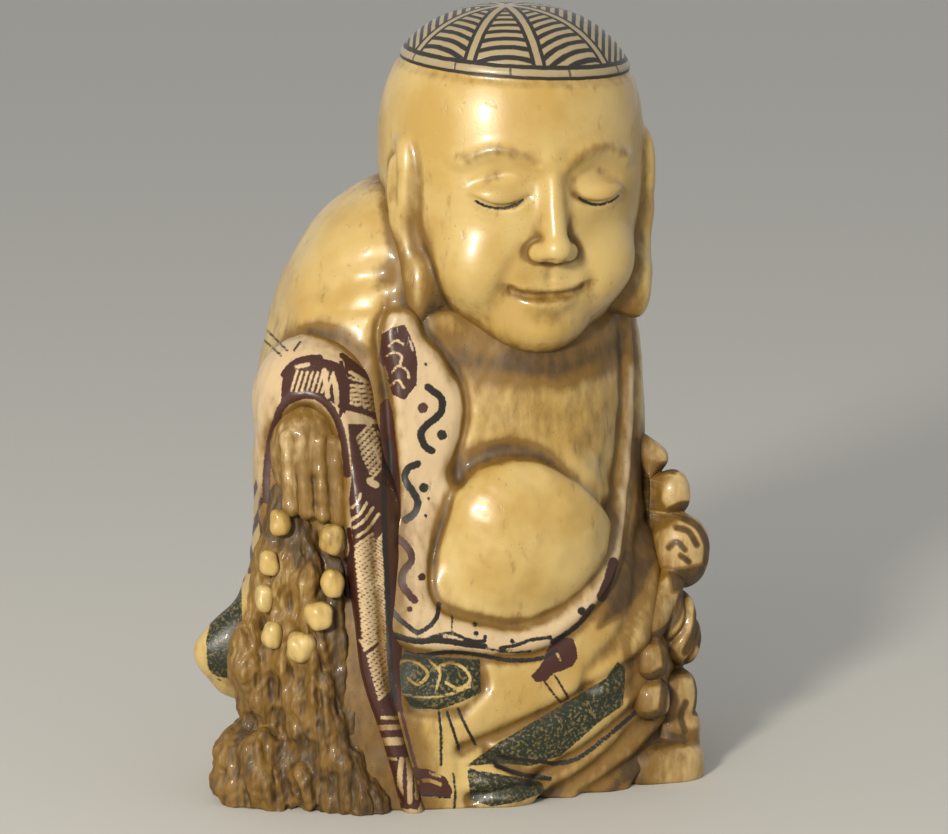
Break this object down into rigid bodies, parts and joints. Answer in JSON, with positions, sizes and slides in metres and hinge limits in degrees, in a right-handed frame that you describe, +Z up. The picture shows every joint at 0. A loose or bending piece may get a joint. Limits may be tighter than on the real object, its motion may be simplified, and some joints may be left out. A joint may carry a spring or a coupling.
{
  "type": "laughing buddha figurine",
  "caption": "Small carved bone figurine of a seated laughing monk with skull cap, bare belly, draped robe, prayer beads and cloth sack; stands on its flat underside.",
  "frame": {"origin": "on the flat underside, below the middle of the seated body", "axes": "+Z up, -Y the way the figure faces, +X towards the figure's left hand and sack"},
  "size_m": [0.0305, 0.0201, 0.046],
  "materials": {
    "carved_bone": "polished, tea-stained bone with engraved lines filled in black, maroon and dark green ink"
  },
  "bodies": {
    "root": {"laughing_buddha": "carved_bone"}
  },
  "joints": []
}
